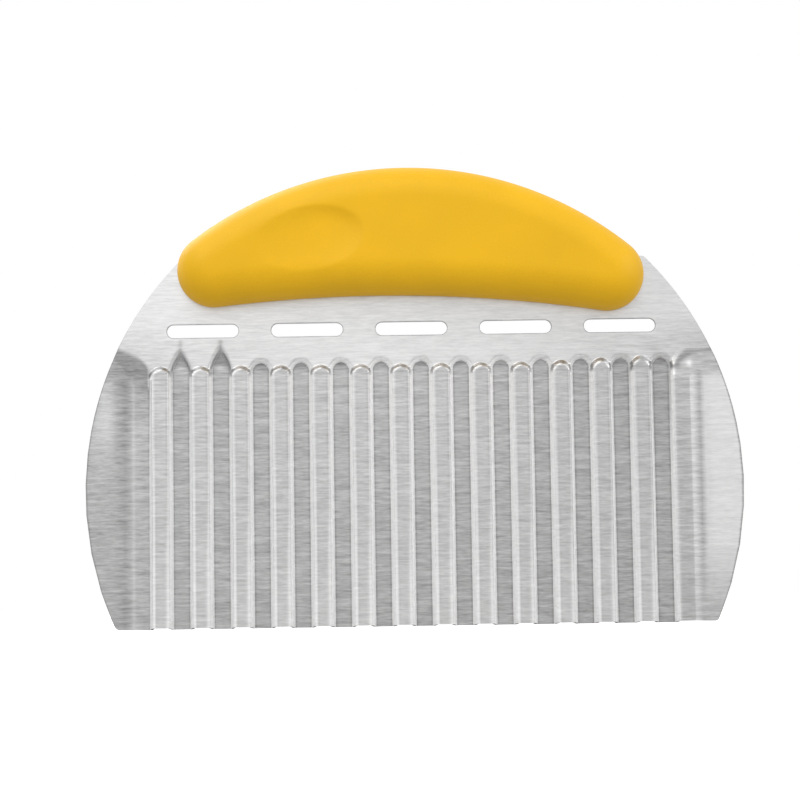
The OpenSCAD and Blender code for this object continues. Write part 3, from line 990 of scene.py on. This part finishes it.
class SOAPCUTTER_OT_blade(bpy.types.Operator):
    """Press, cut and finish the blade"""

    bl_idname = "soapcutter.blade"
    bl_label = "Blade"

    def execute(self, context):
        size = sizes("blade_sizes")
        bm = blade_sheet(size, Waves(size))
        piece = to_object(bm, "wavy_blade")
        for side in ("front", "back"):
            piece.data.materials.append(brushed_steel("brushed_steel_" + side, side + "_painted_light"))
        piece.data.materials.append(cut_steel("cut_steel"))
        wall = piece.modifiers.new("sheet", "SOLIDIFY")
        wall.thickness = size.sheet
        wall.offset = 0.0
        wall.use_even_offset = True
        wall.material_offset = 1
        wall.material_offset_rim = 2
        apply_modifiers(piece)
        smooth(piece, BLADE_SHARP)
        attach(piece, BODY)
        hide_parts("blade")
        return {"FINISHED"}


class SOAPCUTTER_OT_handle(bpy.types.Operator):
    """Mould and finish both handle shells"""

    bl_idname = "soapcutter.handle"
    bl_label = "Handle"

    def execute(self, context):
        plastic = matte_plastic("matte_plastic")
        handle = Handle(sizes("handle_sizes"))
        for name, side in (("handle_front", -1), ("handle_back", 1)):
            piece = handle_shell(name + "_shell", handle, side, dished=side < 0)
            piece.data.materials.append(plastic)
            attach(piece, BODY)
            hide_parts(name)
        return {"FINISHED"}


# Viewpoint in millimetres, its yaw, pitch and roll in degrees, and the lens in millimetres
CAMERA_PLACE = (-7.756, -574.64, 6.0)
CAMERA_TURNS = (0.421, -5.274, -0.864)
CAMERA_SENSOR, CAMERA_LENS = 36, 99
CAMERA_NEAREST = 0.01
# Each lamp's name, place, height that it points at, size in metres and power in watts
LAMPS = (("key", (-0.5, -0.75, 1.0), 0.07, 1.3, 8.3),
         ("fill", (1.2, -0.7, 0.6), 0.07, 1.2, 7),
         ("rim", (-0.6, 0.7, 0.9), 0.08, 0.8, 5))
# Strength of the room's own light, as it falls on things and as glossy surfaces mirror it
ROOM_LIGHT, ROOM_MIRRORED = 0.64, 1.0
FLOOR_HALF = 6.0


def photo_camera():
    """The photograph's viewpoint, from a fit on the outline, the waves and the slots."""
    place = Vector(CAMERA_PLACE) * MM
    yaw, pitch, roll = (math.radians(a) for a in CAMERA_TURNS)
    turn = Matrix.Rotation(roll, 3, "Y") @ Matrix.Rotation(pitch, 3, "X")
    turn = turn @ Matrix.Rotation(yaw, 3, "Z")
    right, ahead, up = (Vector(row) for row in turn)
    data = bpy.data.cameras.new("camera")
    data.sensor_width = CAMERA_SENSOR
    data.lens = CAMERA_LENS
    data.clip_start = CAMERA_NEAREST
    camera = bpy.data.objects.new("camera", data)
    basis = Matrix((right, up, -ahead)).transposed().to_4x4()
    camera.matrix_world = Matrix.Translation(place) @ basis
    bpy.context.scene.collection.objects.link(camera)
    bpy.context.scene.camera = camera


def add_lamp(name, place, level, size, power):
    """A square soft lamp that points at the object's middle plane."""
    data = bpy.data.lights.new(name, "AREA")
    data.shape = "RECTANGLE"
    data.size = size
    data.size_y = size
    data.energy = power
    lamp = bpy.data.objects.new(name, data)
    lamp.location = place
    aim = Vector((0, 0, level)) - Vector(place)
    lamp.rotation_euler = aim.to_track_quat("-Z", "Y").to_euler()
    bpy.context.scene.collection.objects.link(lamp)


class SOAPCUTTER_OT_stage(bpy.types.Operator):
    """Add the floor, the lights and the camera"""

    bl_idname = "soapcutter.stage"
    bl_label = "Stage"

    def execute(self, context):
        bm = bmesh.new()
        bmesh.ops.create_grid(bm, x_segments=1, y_segments=1, size=FLOOR_HALF)
        floor = to_object(bm, "floor")
        floor.data.materials.append(floor_finish("floor", sizes("finishes").floor))
        context.scene.world = studio_world(ROOM_LIGHT, ROOM_MIRRORED)
        photo_camera()
        for lamp in LAMPS:
            add_lamp(*lamp)
        context.scene.view_settings.view_transform = "Standard"
        return {"FINISHED"}


class SOAPCUTTER_PT_panel(bpy.types.Panel):
    """Lists the sizes and the pieces"""

    bl_idname = "SOAPCUTTER_PT_panel"
    bl_label = "Soap cutter"
    bl_space_type = "VIEW_3D"
    bl_region_type = "UI"
    bl_category = "Soap cutter"

    def draw(self, context):
        for name in GROUPS:
            box = self.layout.box()
            for key in sizes(name).bl_rna.properties.keys():
                if key not in ("rna_type", "name"):
                    box.prop(sizes(name), key)
        for operator in PIECES:
            self.layout.operator(operator.bl_idname)


GROUPS = {"blade_sizes": BladeSizes, "slot_sizes": SlotSizes, "handle_sizes": HandleSizes,
          "finishes": Finishes}
PIECES = (SOAPCUTTER_OT_stage, SOAPCUTTER_OT_blade, SOAPCUTTER_OT_handle)
CLASSES = (*GROUPS.values(), *PIECES, SOAPCUTTER_PT_panel)


def register():
    """Adds the classes, and the sizes to the scene."""
    for made in CLASSES:
        bpy.utils.register_class(made)
    for name, group in GROUPS.items():
        setattr(bpy.types.Scene, name, bpy.props.PointerProperty(type=group))


def unregister():
    """Takes away what register adds."""
    for name in GROUPS:
        delattr(bpy.types.Scene, name)
    for made in reversed(CLASSES):
        bpy.utils.unregister_class(made)


def main():
    """Builds the stage and the pieces."""
    register()
    bpy.ops.soapcutter.stage()
    bpy.ops.soapcutter.blade()
    bpy.ops.soapcutter.handle()


if __name__ == "__main__":
    main()
